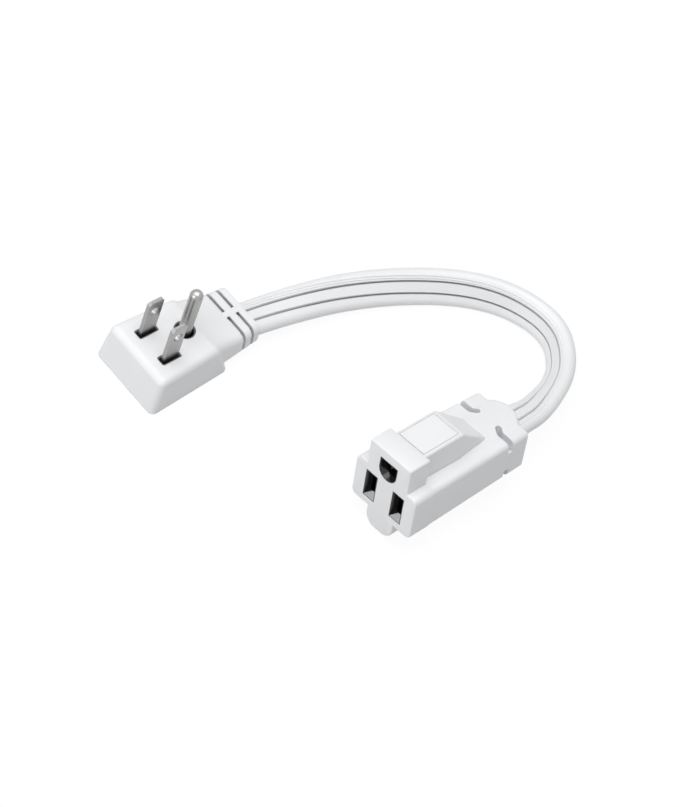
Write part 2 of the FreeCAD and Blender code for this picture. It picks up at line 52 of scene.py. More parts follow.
camera_data.lens = camera_data.sensor_height * focal_pixels / picture_height
camera = bpy.data.objects.new("camera", camera_data)
bpy.context.collection.objects.link(camera)
camera.matrix_world = Matrix((
    (camera_right[0], camera_up[0], camera_back[0], camera_place[0]),
    (camera_right[1], camera_up[1], camera_back[1], camera_place[1]),
    (camera_right[2], camera_up[2], camera_back[2], camera_place[2]),
    (0.0, 0.0, 0.0, 1.0)))
bpy.context.scene.camera = camera
bpy.context.scene.view_settings.view_transform = "Standard"

# Cord
# Flat three-core lead, three lobes side by side extruded in soft white PVC round stranded copper, with two
# fine ribs on one outer lobe that mark a core. It leaves the plug flat, banks as it turns, and ends in the
# connector.


def linear_colour(hex_value):
    """Linear colour of an sRGB hex value."""
    shares = [int(hex_value[place:place + 2], 16) / 255.0 for place in (1, 3, 5)]
    linear = [share / 12.92 if share <= 0.04045 else ((share + 0.055) / 1.055) ** 2.4 for share in shares]
    return linear + [1.0]


def add_node(material, kind, settings, inputs):
    """One node of a material, with its settings, and its inputs as values or as outputs of other nodes."""
    node = material.node_tree.nodes.new(kind)
    for name, value in settings.items():
        setattr(node, name, value)
    for name, value in inputs.items():
        if isinstance(value, bpy.types.NodeSocket):
            material.node_tree.links.new(value, node.inputs[name])
        else:
            node.inputs[name].default_value = value
    return node


def new_material(name):
    """New material and its shader."""
    material = bpy.data.materials.new(name)
    material.use_nodes = True
    return material, material.node_tree.nodes["Principled BSDF"]


# Soft extruded PVC: white and satin, with a slight unevenness of tone and painted shade in the grooves
cord_pvc, shader = new_material("soft white PVC cord")
place = add_node(cord_pvc, "ShaderNodeTexCoord", {}, {})
tone = add_node(cord_pvc, "ShaderNodeTexNoise", {}, {
    "Vector": place.outputs["Object"], "Scale": 1.0 / (18.0 * mm)})
shade = add_node(cord_pvc, "ShaderNodeMix", {"data_type": "RGBA"}, {
    "Factor": tone.outputs["Fac"], "A": linear_colour("#e6e7e9"), "B": linear_colour("#eeeff0")})
# Painted shade: ambient occlusion darkens the colour towards #c6c7ca between the lobes, where the grooves
# fall into shade
crease_shade = add_node(cord_pvc, "ShaderNodeAmbientOcclusion", {"samples": 8}, {"Distance": 1.2 * mm})
unshaded_share = add_node(cord_pvc, "ShaderNodeMapRange", {}, {
    "Value": crease_shade.outputs["AO"], "From Min": 0.25, "From Max": 0.7})
shade = add_node(cord_pvc, "ShaderNodeMix", {"data_type": "RGBA"}, {
    "Factor": unshaded_share.outputs["Result"], "A": linear_colour("#c6c7ca"), "B": shade.outputs["Result"]})
cord_pvc.node_tree.links.new(shade.outputs["Result"], shader.inputs["Base Color"])
grain = add_node(cord_pvc, "ShaderNodeTexNoise", {}, {
    "Vector": place.outputs["Object"], "Scale": 1.0 / (0.9 * mm), "Detail": 3.0})
bump = add_node(cord_pvc, "ShaderNodeBump", {}, {
    "Height": grain.outputs["Fac"], "Strength": 0.12, "Distance": 0.05 * mm})
cord_pvc.node_tree.links.new(bump.outputs["Normal"], shader.inputs["Normal"])
shader.inputs["Roughness"].default_value = 0.42
shader.inputs["IOR"].default_value = 1.53

lobe_radius = 2.7
lobe_pitch = 4.1
middle_reaches = [0.0, 0.8]
groove_place = 2.2
groove_half_width = 0.55
groove_depth = 1.7
groove_sharpness = 1.5
groove_shares = (-1.0, -0.75, -0.5, -0.3, -0.14, 0.0, 0.14, 0.3, 0.5, 0.75, 1.0)
rib_places = (3.5, 4.4)
rib_half_width = 0.2
rib_height = 0.25
edge_steps = 18
# Points of the centre line, and how far the cord banks there, its outer edge raised, in degrees
cord_way = (
    ((27.0, -2.2, 7.0), 0.0),
    ((47.5, -3.9, 7.0), 4.0),
    ((89.6, -13.2, 5.6), 38.0),
    ((127.0, -35.3, 6.2), 56.0),
    ((139.3, -61.9, 6.8), 76.0),
    ((127.2, -80.5, 7.6), 66.0),
    ((102.5, -88.8, 12.2), 32.0),
    ((90.0, -89.2, 15.1), 12.0),
    ((73.8, -89.2, 15.1), 12.0),
)


def cord_height(reach):
    """Half height of the cord at a distance from its middle: flat lobes, a groove and a round edge."""
    groove = max(0.0, 1.0 - abs(reach - groove_place) / groove_half_width)
    edge = max(0.0, reach - lobe_pitch)
    return math.sqrt(lobe_radius ** 2 - edge ** 2) - groove_depth * groove ** groove_sharpness


reaches = middle_reaches + [groove_place + groove_half_width * share for share in groove_shares]
edge_shares = [math.sin(0.5 * math.pi * step / edge_steps) for step in range(edge_steps + 1)]
reaches += [lobe_pitch + lobe_radius * share for share in edge_shares]
plain_half = [(reach, cord_height(reach)) for reach in reaches]
ribbed_half = list(plain_half)
for rib_place in rib_places:
    rib_sides = (rib_place - rib_half_width, rib_place + rib_half_width)
    ribbed_half = [spot for spot in ribbed_half if abs(spot[0] - rib_place) > rib_half_width]
    ribbed_half += [(reach, cord_height(reach)) for reach in rib_sides]
    ribbed_half.append((rib_place, cord_height(rib_place) + rib_height))
ribbed_half.sort()
profile_points = plain_half + [(reach, -height) for reach, height in reversed(plain_half[:-1])]
profile_points += [(-reach, -height) for reach, height in plain_half[1:]]
profile_points += [(-reach, height) for reach, height in reversed(ribbed_half[1:-1])]
profile_data = bpy.data.curves.new("cord_profile", "CURVE")
profile_data.dimensions = "2D"
profile_spline = profile_data.splines.new("POLY")
profile_spline.points.add(len(profile_points) - 1)
for point, (across, up) in zip(profile_spline.points, profile_points):
    point.co = (across * mm, up * mm, 0.0, 1.0)
profile_spline.use_cyclic_u = True
profile = bpy.data.objects.new("cord_profile", profile_data)
bpy.context.collection.objects.link(profile)

cord_data = bpy.data.curves.new("cord_line", "CURVE")
cord_data.dimensions = "3D"
cord_data.twist_mode = "Z_UP"
cord_data.resolution_u = 20
cord_spline = cord_data.splines.new("NURBS")
cord_spline.points.add(len(cord_way) - 1)
for point, (spot, bank) in zip(cord_spline.points, cord_way):
    point.co = (spot[0] * mm, spot[1] * mm, spot[2] * mm, 1.0)
    point.tilt = math.radians(bank)
cord_spline.order_u = 3
cord_spline.use_endpoint_u = True
cord = bpy.data.objects.new("flat_cord", cord_data)
bpy.context.collection.objects.link(cord)
bare_line = bpy.data.meshes.new_from_object(cord)
cord_path = [tuple(vertex.co) for vertex in bare_line.vertices]
cord_data.bevel_mode = "OBJECT"
cord_data.bevel_object = profile
cord_data.use_fill_caps = True
bpy.ops.object.select_all(action="DESELECT")
cord.select_set(True)
bpy.context.view_layer.objects.active = cord
bpy.ops.object.convert(target="MESH")
bpy.data.objects.remove(profile)
bpy.ops.object.mode_set(mode="EDIT")
bpy.ops.mesh.select_all(action="SELECT")
bpy.ops.mesh.remove_doubles(threshold=0.001 * mm)
bpy.ops.mesh.normals_make_consistent(inside=False)
bpy.ops.object.mode_set(mode="OBJECT")
bpy.ops.object.shade_smooth_by_angle(angle=math.radians(35.0))
cord.data.materials.clear()
cord.data.materials.append(cord_pvc)
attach(cord, "root")
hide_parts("cord")

# Plug body
# One overmoulding of white PVC round the blades, the pin, their bridge and the cord: a drafted pad with a
# flat back, soft corners and a narrower neck, whose two grooves leave three plates that flex with the cord.


def add_block(name, low, high):
    """Cube between two corners in millimetres, with its place in its mesh."""
    bpy.ops.object.select_all(action="DESELECT")
    middle = [(first + second) / 2.0 * mm for first, second in zip(low, high)]
    size = [(second - first) * mm for first, second in zip(low, high)]
    bpy.ops.mesh.primitive_cube_add(size=1.0, location=middle, scale=size)
    block = bpy.context.object
    block.name = name
    bpy.ops.object.transform_apply(location=True, rotation=True, scale=True)
    return block


def add_rod(name, radius, length, middle, sides, turn=(0.0, 0.0, 0.0)):
    """Cylinder round a middle in millimetres, upright unless it is turned, with its place in its mesh."""
    bpy.ops.object.select_all(action="DESELECT")
    bpy.ops.mesh.primitive_cylinder_add(vertices=sides, radius=radius * mm, depth=length * mm,
                                        location=[share * mm for share in middle], rotation=turn)
    rod = bpy.context.object
    rod.name = name
    bpy.ops.object.transform_apply(location=True, rotation=True, scale=True)
    return rod


def edit(piece, kind, test):
    """Edit mode with those vertices, edges or faces selected whose corners, in millimetres, pass a test."""
    bpy.ops.object.select_all(action="DESELECT")
    piece.select_set(True)
    bpy.context.view_layer.objects.active = piece
    bpy.ops.object.mode_set(mode="EDIT")
    bpy.ops.mesh.select_mode(type=kind)
    bpy.ops.mesh.select_all(action="DESELECT")
    mesh = bmesh.from_edit_mesh(piece.data)
    parts = {"VERT": mesh.verts, "EDGE": mesh.edges, "FACE": mesh.faces}[kind]
    for part in parts:
        corners = [part] if kind == "VERT" else part.verts
        if test([corner.co / mm for corner in corners]):
            part.select_set(True)
    mesh.select_flush_mode()
    bmesh.update_edit_mesh(piece.data)


def leave_edit():
    """Object mode again, with the edits kept."""
    bpy.ops.object.mode_set(mode="OBJECT")


def near(value, wanted):
    """Whether two lengths in millimetres are the same but for rounding."""
    return abs(value - wanted) < 0.02


def move_corners(piece, test, offset):
    """Moves the vertices that pass a test, in millimetres."""
    edit(piece, "VERT", lambda corners: test(corners[0]))
    bpy.ops.transform.translate(value=[share * mm for share in offset])
    leave_edit()


def widen_corners(piece, test, share):
    """Scales the vertices that pass a test across the object's middle plane."""
    edit(piece, "VERT", lambda corners: test(corners[0]))
    bpy.ops.transform.resize(value=(1.0, share, 1.0), center_override=(0.0, 0.0, 0.0))
    leave_edit()


def split(piece, place, normal):
    """Cuts all faces of a piece where a plane crosses them."""
    edit(piece, "FACE", lambda corners: True)
    bpy.ops.mesh.bisect(plane_co=[share * mm for share in place], plane_no=normal)
    leave_edit()


def round_edges(piece, test, radius, steps):
    """Rounds the edges whose two ends pass a test."""
    edit(piece, "EDGE", lambda corners: test(corners[0], corners[1]))
    bpy.ops.mesh.bevel(offset=radius * mm, offset_type="OFFSET", segments=steps, affect="EDGES",
                       clamp_overlap=True)
    leave_edit()


def along_x(first, second):
    """Whether an edge runs mostly along the x axis."""
    reach = abs(first.x - second.x)
    return reach > 1.5 and reach > abs(first.y - second.y) and reach > abs(first.z - second.z)


def combine(piece, tool, operation):
    """Joins a second solid to a piece or cuts it away, then joins the faces that lie in one plane."""
    for solid in (tool, piece):
        edit(solid, "FACE", lambda corners: True)
        bpy.ops.mesh.normals_make_consistent(inside=False)
        leave_edit()
    step = piece.modifiers.new("combine", "BOOLEAN")
    step.operation = operation
    step.solver = "EXACT"
    step.object = tool
    bpy.ops.object.modifier_apply(modifier=step.name)
    bpy.data.objects.remove(tool)
    edit(piece, "FACE", lambda corners: True)
    bpy.ops.mesh.dissolve_limited(angle_limit=math.radians(0.2))
    leave_edit()


def copy_piece(piece, name):
    """Copy of a piece with a mesh of its own."""
    copied = piece.copy()
    copied.data = piece.data.copy()
    copied.name = name
    bpy.context.collection.objects.link(copied)
    return copied


def mirror_piece(piece, axis):
    """Turns a piece over across one of the middle planes, faces still pointing outwards."""
    edit(piece, "FACE", lambda corners: True)
    bpy.ops.transform.resize(value=[-1.0 if place == axis else 1.0 for place in range(3)],
                             center_override=(0.0, 0.0, 0.0))
    bpy.ops.mesh.normals_make_consistent(inside=False)
    leave_edit()


def dress(piece, material, node, smooth_angle):
    """Clean mesh, shading, material and place in the frame of a finished piece."""
    edit(piece, "FACE", lambda corners: True)
    bpy.ops.mesh.remove_doubles(threshold=0.002 * mm)
    bpy.ops.mesh.normals_make_consistent(inside=False)
    leave_edit()
    bpy.ops.object.shade_smooth_by_angle(angle=math.radians(smooth_angle))
    piece.data.materials.clear()
    piece.data.materials.append(material)
    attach(piece, "root")
    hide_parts(node)


# Injection moulded PVC: white with a cool cast, satin from a finely eroded mould, its sharp edges just
# broken and painted shade in its narrow grooves
white_pvc, shader = new_material("moulded white PVC")
place = add_node(white_pvc, "ShaderNodeTexCoord", {}, {})
tone = add_node(white_pvc, "ShaderNodeTexNoise", {}, {
    "Vector": place.outputs["Object"], "Scale": 1.0 / (22.0 * mm)})
shade = add_node(white_pvc, "ShaderNodeMix", {"data_type": "RGBA"}, {
    "Factor": tone.outputs["Fac"], "A": linear_colour("#e7e8ea"), "B": linear_colour("#edeef0")})
# Painted shade: ambient occlusion darkens the colour towards #737477 in grooves, slots, recesses and seams,
# where shade falls
crease_shade = add_node(white_pvc, "ShaderNodeAmbientOcclusion", {"samples": 8}, {"Distance": 1.7 * mm})
unshaded_share = add_node(white_pvc, "ShaderNodeMapRange", {}, {
    "Value": crease_shade.outputs["AO"], "From Min": 0.18, "From Max": 0.64})
shade = add_node(white_pvc, "ShaderNodeMix", {"data_type": "RGBA"}, {
    "Factor": unshaded_share.outputs["Result"], "A": linear_colour("#737477"), "B": shade.outputs["Result"]})
white_pvc.node_tree.links.new(shade.outputs["Result"], shader.inputs["Base Color"])
broken_edge = add_node(white_pvc, "ShaderNodeBevel", {"samples": 6}, {"Radius": 0.3 * mm})
grain = add_node(white_pvc, "ShaderNodeTexNoise", {}, {
    "Vector": place.outputs["Object"], "Scale": 1.0 / (0.6 * mm), "Detail": 2.0})
bump = add_node(white_pvc, "ShaderNodeBump", {}, {
    "Height": grain.outputs["Fac"], "Strength": 0.1, "Distance": 0.04 * mm,
    "Normal": broken_edge.outputs["Normal"]})
white_pvc.node_tree.links.new(bump.outputs["Normal"], shader.inputs["Normal"])
shader.inputs["Roughness"].default_value = 0.48
shader.inputs["IOR"].default_value = 1.53

plug_height = 15.5
plug_front = -11.4
plug_end = 24.8
face_front = -9.36
face_end = 18.06
plug_edge_radius = 2.5
# Half width of a block before its corners are moved out to their own half widths
plain_half_width = 10.0
plug = add_block("moulded_plug_body", (plug_front, -plain_half_width, 0.0),
                 (plug_end, plain_half_width, plug_height))
move_corners(plug, lambda spot: near(spot.x, plug_front) and near(spot.z, plug_height),
             (face_front - plug_front, 0.0, 0.0))
move_corners(plug, lambda spot: near(spot.x, plug_end) and near(spot.z, plug_height),
             (face_end - plug_end, 0.0, 0.0))
plug_half_widths = (
    (plug_front, 0.0, 15.60),
    (plug_end, 0.0, 13.70),
    (face_front, plug_height, 14.65),
    (face_end, plug_height, 13.21),
)
for corner_x, corner_z, half_width in plug_half_widths:
    widen_corners(plug, lambda spot: near(spot.x, corner_x) and near(spot.z, corner_z),
                  half_width / plain_half_width)
round_edges(plug, lambda first, second: first.z + second.z > plug_height / 2.0, plug_edge_radius, 8)

neck_start = 17.0
neck_slope_end = 30.6
neck_end = 39.0
neck_top = 11.3
neck_bottom = 2.7
shoulder_top = 15.2
neck_edge_radius = 2.5
neck = add_block("neck", (neck_start, -plain_half_width, neck_bottom),
                 (neck_end, plain_half_width, neck_top))
split(neck, (neck_slope_end, 0.0, 0.0), (1.0, 0.0, 0.0))
move_corners(neck, lambda spot: near(spot.x, neck_start) and near(spot.z, neck_top),
             (0.0, 0.0, shoulder_top - neck_top))
neck_half_widths = (
    (neck_start, shoulder_top, 12.28),
    (neck_start, neck_bottom, 13.49),
    (neck_slope_end, neck_top, 11.32),
    (neck_slope_end, neck_bottom, 12.15),
    (neck_end, neck_top, 10.50),
    (neck_end, neck_bottom, 11.33),
)
for corner_x, corner_z, half_width in neck_half_widths:
    widen_corners(neck, lambda spot: near(spot.x, corner_x) and near(spot.z, corner_z),
                  half_width / plain_half_width)
round_edges(neck, along_x, neck_edge_radius, 8)

neck_groove_width = 1.3
neck_groove_places = (31.0, 35.1)
neck_groove_depth = 1.5
upper_floor = neck_top - neck_groove_depth
lower_floor = neck_bottom + neck_groove_depth
side_floor = 8.1
spine_half = 1.2
cut_reach = 18.0
groove_cut = add_block("groove", (neck_groove_places[0], side_floor, -1.0),
                       (neck_groove_places[0] + neck_groove_width, cut_reach, cut_reach))
for height in (upper_floor, lower_floor):
    split(groove_cut, (0.0, 0.0, height), (0.0, 0.0, 1.0))
for is_arm in (lambda z: z > upper_floor - 0.1, lambda z: z < lower_floor + 0.1):
    edit(groove_cut, "FACE",
         lambda corners: all(near(spot.y, side_floor) and is_arm(spot.z) for spot in corners))
    bpy.ops.mesh.extrude_region_move(
        TRANSFORM_OT_translate={"value": (0.0, (spine_half - side_floor) * mm, 0.0)})
    leave_edit()
groove_cuts = [groove_cut, copy_piece(groove_cut, "groove_opposite")]
mirror_piece(groove_cuts[1], 1)
for cut in list(groove_cuts):
    following = copy_piece(cut, "groove_following")
    move_corners(following, lambda spot: True, (neck_groove_places[1] - neck_groove_places[0], 0.0, 0.0))
    groove_cuts.append(following)
for cut in groove_cuts:
    combine(neck, cut, "DIFFERENCE")
combine(plug, neck, "UNION")

blade_spacing = 12.7
ground_place = 11.9
recess_floor = 13.3
recess_top = 17.5
recess_half_length = 4.2
recess_half_width = 1.95
recess_corner = 0.7
ground_recess_radius = 3.9
for side in (-1, 1):
    recess_middle = side * blade_spacing / 2.0
    pocket = add_block("blade_recess",
                       (-recess_half_length, recess_middle - recess_half_width, recess_floor),
                       (recess_half_length, recess_middle + recess_half_width, recess_top))
    round_edges(pocket, lambda first, second: abs(first.z - second.z) > 1.0, recess_corner, 4)
    combine(plug, pocket, "DIFFERENCE")
pocket = add_rod("ground_recess", ground_recess_radius, recess_top - recess_floor,
                 (ground_place, 0.0, (recess_floor + recess_top) / 2.0), 64)
combine(plug, pocket, "DIFFERENCE")
dress(plug, white_pvc, "plug_body", 38.0)

# Blades
# Two flat brass blades, blanked, folded and nickel plated, with cropped corners, a lead-in bevel on both
# sides of the tip and a round hole. The bridge holds them and their tails are crimped to the cores.

# Nickel plate on brushed brass: warm grey metal, fine lines along the blade that spread its reflections
nickel, shader = new_material("brushed nickel plate")
place = add_node(nickel, "ShaderNodeTexCoord", {}, {})
stretch = add_node(nickel, "ShaderNodeMapping", {}, {
    "Vector": place.outputs["Object"], "Scale": (1.0 / (0.25 * mm), 1.0 / (0.25 * mm), 1.0 / (9.0 * mm))})
lines = add_node(nickel, "ShaderNodeTexNoise", {}, {
    "Vector": stretch.outputs["Vector"], "Scale": 1.0, "Detail": 3.0})
shade = add_node(nickel, "ShaderNodeMix", {"data_type": "RGBA"}, {
    "Factor": lines.outputs["Fac"], "A": linear_colour("#9a9998"), "B": linear_colour("#b4b3b2")})
nickel.node_tree.links.new(shade.outputs["Result"], shader.inputs["Base Color"])
bump = add_node(nickel, "ShaderNodeBump", {}, {
    "Height": lines.outputs["Fac"], "Strength": 0.15, "Distance": 0.02 * mm})
nickel.node_tree.links.new(bump.outputs["Normal"], shader.inputs["Normal"])
shader.inputs["Metallic"].default_value = 1.0
shader.inputs["Roughness"].default_value = 0.3

blade_half_width = 3.175
blade_half_thickness = 0.75
blade_foot = 5.8
blade_tip = 32.5
tip_corner = 1.0
tip_bevel = 0.4
blade_hole_radius = 1.8
blade_hole_height = 27.3
blade_y = blade_spacing / 2.0
blade = add_block("neutral_plug_blade", (-blade_half_width, blade_y - blade_half_thickness, blade_foot),
                  (blade_half_width, blade_y + blade_half_thickness, blade_tip))
round_edges(blade, lambda first, second: near(first.z, blade_tip) and near(second.z, blade_tip)
            and abs(first.y - second.y) > 1.0, tip_corner, 1)
round_edges(blade, lambda first, second: near(first.z, blade_tip) and near(second.z, blade_tip)
            and abs(first.x - second.x) > 2.0, tip_bevel, 1)
hole_cut_length = 6.0
hole = add_rod("blade_hole", blade_hole_radius, hole_cut_length, (0.0, blade_y, blade_hole_height), 48,
               (math.pi / 2.0, 0.0, 0.0))
combine(blade, hole, "DIFFERENCE")
opposite_blade = copy_piece(blade, "hot_plug_blade")
move_corners(opposite_blade, lambda spot: True, (0.0, -blade_spacing, 0.0))
dress(blade, nickel, "neutral_blade", 30.0)
dress(opposite_blade, nickel, "hot_blade", 30.0)

# Ground pin
# Round brass pin with a domed tip, turned and nickel plated. It is longer than the blades, so that it makes
# contact before them, and the bridge holds it too.
pin_radius = 2.4
pin_dome = 2.3
pin_foot = 5.3
pin_tip = 36.7
pin = add_rod("round_ground_pin", pin_radius, pin_tip - pin_foot,
              (ground_place, 0.0, (pin_tip + pin_foot) / 2.0), 72)
round_edges(pin, lambda first, second: near(first.z, pin_tip) and near(second.z, pin_tip), pin_dome, 12)
dress(pin, nickel, "ground_pin", 40.0)

# Connector head
# White front moulding of the in-line socket: two wings at the blade slots, a taller block over the ground
# hole and a round keel. It is fixed over the contact carrier, whose dark mouths fill its three openings.
connector_place = (26.3, -88.9, 16.573)
connector_lean = -12.0


def set_in_place(piece):
    """Leans a piece and moves it from the connector's own axes, in the middle of its face, to its place."""
    lean = Matrix.Rotation(math.radians(connector_lean), 4, "X")
    piece.matrix_world = Matrix.Translation(Vector(connector_place) * mm) @ lean
    bpy.ops.object.select_all(action="DESELECT")
    piece.select_set(True)
    bpy.context.view_layer.objects.active = piece
    bpy.ops.object.transform_apply(location=True, rotation=True, scale=True)


head_length = 9.0
wing_half_width = 14.2
wing_top = 9.0
wing_bottom = -9.1
wing_radius = 2.3
block_half_width = 9.6
block_top = 19.7
block_radius = 0.7
keel_half_width = 6.2
keel_bottom = -16.5
keel_radius = 4.6
front_rim = 0.5
rear_rim = 0.2
head = add_block("connector_head", (0.0, -wing_half_width, wing_bottom),
                 (head_length, wing_half_width, wing_top))
round_edges(head, along_x, wing_radius, 6)
block = add_block("head_block", (0.0, -block_half_width, 0.0), (head_length, block_half_width, block_top))
round_edges(block, lambda first, second: along_x(first, second) and first.z > wing_top, block_radius, 4)
combine(head, block, "UNION")
block = add_block("head_keel", (0.0, -keel_half_width, keel_bottom), (head_length, keel_half_width, 0.0))
round_edges(block, lambda first, second: along_x(first, second) and first.z < wing_bottom, keel_radius, 10)
combine(head, block, "UNION")
round_edges(head, lambda first, second: near(first.x, 0.0) and near(second.x, 0.0), front_rim, 3)
round_edges(head, lambda first, second: near(first.x, head_length) and near(second.x, head_length),
            rear_rim, 2)
slot_half_width = 2.7
slot_half_height = 5.9
opening_start = -1.5
opening_end = 10.5
for side in (-1, 1):
    opening = add_block("slot_opening", (opening_start, side * blade_y - slot_half_width, -slot_half_height),
                        (opening_end, side * blade_y + slot_half_width, slot_half_height))
    combine(head, opening, "DIFFERENCE")
ground_half = 4.1
opening = add_rod("ground_opening", ground_half, opening_end - opening_start,
                  ((opening_start + opening_end) / 2.0, 0.0, ground_place), 64, (0.0, math.pi / 2.0, 0.0))
flat_top = add_block("flat_top", (opening_start, -ground_half, ground_place),
                     (opening_end, ground_half, ground_place + ground_half))
combine(opening, flat_top, "UNION")
combine(head, opening, "DIFFERENCE")
set_in_place(head)
dress(head, white_pvc, "connector_face", 38.0)

# Connector body
# White PVC overmoulded behind the head: rounded shoulders, a ridge over the ground chamber with a hip
# behind it, a keel to stand on, and a low dome over the cord, with hooked slots that let its end flex.
body_start = head_length
body_end = 55.8
front_half_width = 13.95
front_top = 8.75
front_bottom = -8.85
end_half_width = 12.7
end_top = 7.3
end_bottom = -9.2
shoulder_radius = 1.9
end_rim = 0.6
body = add_block("connector_overmould", (body_start, -plain_half_width, front_bottom),
                 (body_end, plain_half_width, front_top))
move_corners(body, lambda spot: near(spot.x, body_end) and spot.z > 0.0,
             (0.0, 0.0, end_top - front_top))
move_corners(body, lambda spot: near(spot.x, body_end) and spot.z < 0.0,
             (0.0, 0.0, end_bottom - front_bottom))
widen_corners(body, lambda spot: near(spot.x, body_start), front_half_width / plain_half_width)
widen_corners(body, lambda spot: near(spot.x, body_end), end_half_width / plain_half_width)
round_edges(body, along_x, shoulder_radius, 6)
round_edges(body, lambda first, second: near(first.x, body_end) and near(second.x, body_end), end_rim, 4)

ridge_foot_half = 7.7
ridge_top_half = 7.2
ridge_top = 19.3
ridge_end = 27.0
ridge_radius = 0.8
hip_end = 42.4
hip_foot = 7.2
hip_half = 5.8
ridge = add_block("ridge", (body_start, -ridge_foot_half, 0.0), (hip_end, ridge_foot_half, ridge_top))
split(ridge, (ridge_end, 0.0, 0.0), (1.0, 0.0, 0.0))
move_corners(ridge, lambda spot: near(spot.x, hip_end) and spot.z > 1.0, (0.0, 0.0, hip_foot - ridge_top))
widen_corners(ridge, lambda spot: spot.z > ridge_top - 0.1, ridge_top_half / ridge_foot_half)
widen_corners(ridge, lambda spot: near(spot.x, hip_end), hip_half / ridge_foot_half)
round_edges(ridge, lambda first, second: first.z > hip_foot - 0.1 and second.z > hip_foot - 0.1
            and not (near(first.x, body_start) and near(second.x, body_start))
            and not (near(first.x, hip_end) and near(second.x, hip_end)), ridge_radius, 4)
panel_edge = 0.3
panel_line = 0.35
panel_line_depth = 0.14
edit(ridge, "FACE", lambda corners: all(near(spot.z, ridge_top) for spot in corners)
     and max(spot.x for spot in corners) - min(spot.x for spot in corners) > 8.0)
bpy.ops.mesh.inset(thickness=panel_edge * mm, use_even_offset=True)
bpy.ops.mesh.inset(thickness=panel_line * mm, use_even_offset=True)
leave_edit()
edit(ridge, "FACE", lambda corners: all(near(spot.z, ridge_top) for spot in corners)
     and min(max(spot.x for spot in corners) - min(spot.x for spot in corners),
             max(spot.y for spot in corners) - min(spot.y for spot in corners)) < 0.9
     and min(spot.x for spot in corners) > body_start + panel_edge - 0.1
     and max(abs(spot.y) for spot in corners) < ridge_top_half - ridge_radius - panel_edge + 0.1)
bpy.ops.mesh.extrude_region_move(TRANSFORM_OT_translate={"value": (0.0, 0.0, -panel_line_depth * mm)})
leave_edit()
combine(body, ridge, "UNION")

body_keel_half = 5.95
body_keel_bottom = -16.45
body_keel_end = 41.5
slope_start = 25.0
slope_end = 60.0
slope_rise = 18.0
wedge_half = 20.0
wedge_bottom = -30.0
keel = add_block("keel", (body_start, -body_keel_half, body_keel_bottom),
                 (body_keel_end, body_keel_half, 0.0))
split(keel, (slope_start, 0.0, 0.0), (1.0, 0.0, 0.0))
round_edges(keel, lambda first, second: along_x(first, second) and max(first.z, second.z) < wing_bottom,
            keel_radius, 10)
# The wedge starts just below the keel's flat, so that no two faces lie in one plane
wedge_top = body_keel_bottom - 0.01
wedge = add_block("keel_slope", (slope_start, -wedge_half, wedge_bottom), (slope_end, wedge_half, wedge_top))
move_corners(wedge, lambda spot: near(spot.x, slope_end) and near(spot.z, wedge_top), (0.0, 0.0, slope_rise))
combine(keel, wedge, "DIFFERENCE")
combine(body, keel, "UNION")

dome_top = 8.7
dome_half = 8.0
dome_bulge = 3.4
dome_rim = 1.6
dome_start = hip_end - 6.0
dome_bottom = -5.4
dome_rise = dome_top - end_top
crown_radius = (dome_half ** 2 + dome_rise ** 2) / (2.0 * dome_rise)
rear_radius = (dome_half ** 2 + dome_bulge ** 2) / (2.0 * dome_bulge)
dome_columns = 16
dome = add_block("dome", (dome_start, -dome_half, dome_bottom), (body_end, dome_half, dome_top))
edit(dome, "EDGE", lambda corners: abs(corners[0].y - corners[1].y) > 1.0)
bpy.ops.mesh.subdivide(number_cuts=dome_columns - 1)
leave_edit()
for column in range(dome_columns + 1):
    column_y = dome_half * (2.0 * column / dome_columns - 1.0)
    crown_drop = crown_radius - math.sqrt(crown_radius ** 2 - column_y ** 2)
    rear_drop = rear_radius - math.sqrt(rear_radius ** 2 - column_y ** 2)
    move_corners(dome, lambda spot: near(spot.y, column_y) and near(spot.x, body_end),
                 (dome_bulge - rear_drop, 0.0, 0.0))
    move_corners(dome, lambda spot: near(spot.y, column_y) and spot.z > 0.0, (0.0, 0.0, -crown_drop))
round_edges(dome, lambda first, second: min(first.x, second.x) > body_end - 0.1
            and min(first.z, second.z) > 0.0, dome_rim, 5)
combine(body, dome, "UNION")

slot_place = 46.9
slot_width = 2.4
slot_floor = 3.3
slot_height = 12.0
slot_drop = 20.6
hook_radius = 4.5
hook_turn = 40.0
hook_y = 8.2
relief = add_block("relief_slot", (slot_place - slot_width / 2.0, hook_y, slot_floor),
                   (slot_place + slot_width / 2.0, cut_reach, slot_floor + slot_height))
edit(relief, "FACE", lambda corners: all(near(spot.y, hook_y) for spot in corners))
bpy.ops.mesh.spin(steps=10, angle=math.radians(-hook_turn), axis=(0.0, 0.0, 1.0),
                  center=((slot_place + hook_radius) * mm, hook_y * mm, 0.0))
leave_edit()
tip_x = slot_place + hook_radius * (1.0 - math.cos(math.radians(hook_turn)))
tip_y = hook_y - hook_radius * math.sin(math.radians(hook_turn))
hook_tip = add_rod("hook_tip", slot_width / 2.0, slot_height,
                   (tip_x, tip_y, slot_floor + slot_height / 2.0), 32)
combine(relief, hook_tip, "UNION")
upper_cut = copy_piece(relief, "relief_opposite")
mirror_piece(upper_cut, 1)
lower_cuts = []
for cut in (relief, upper_cut):
    lower = copy_piece(cut, "relief_lower")
    move_corners(lower, lambda spot: True, (0.0, 0.0, -slot_drop))
    lower_cuts.append(lower)
for cut in [relief, upper_cut] + lower_cuts:
    combine(body, cut, "DIFFERENCE")
set_in_place(body)
dress(body, white_pvc, "connector_body", 38.0)

# Pieces inside
# What the overmouldings hide keeps the solids' own shape: the grey bridge and the black carrier, moulded in
# nylon, the brass contacts pressed into the carrier, the insulated cores and their copper strands.


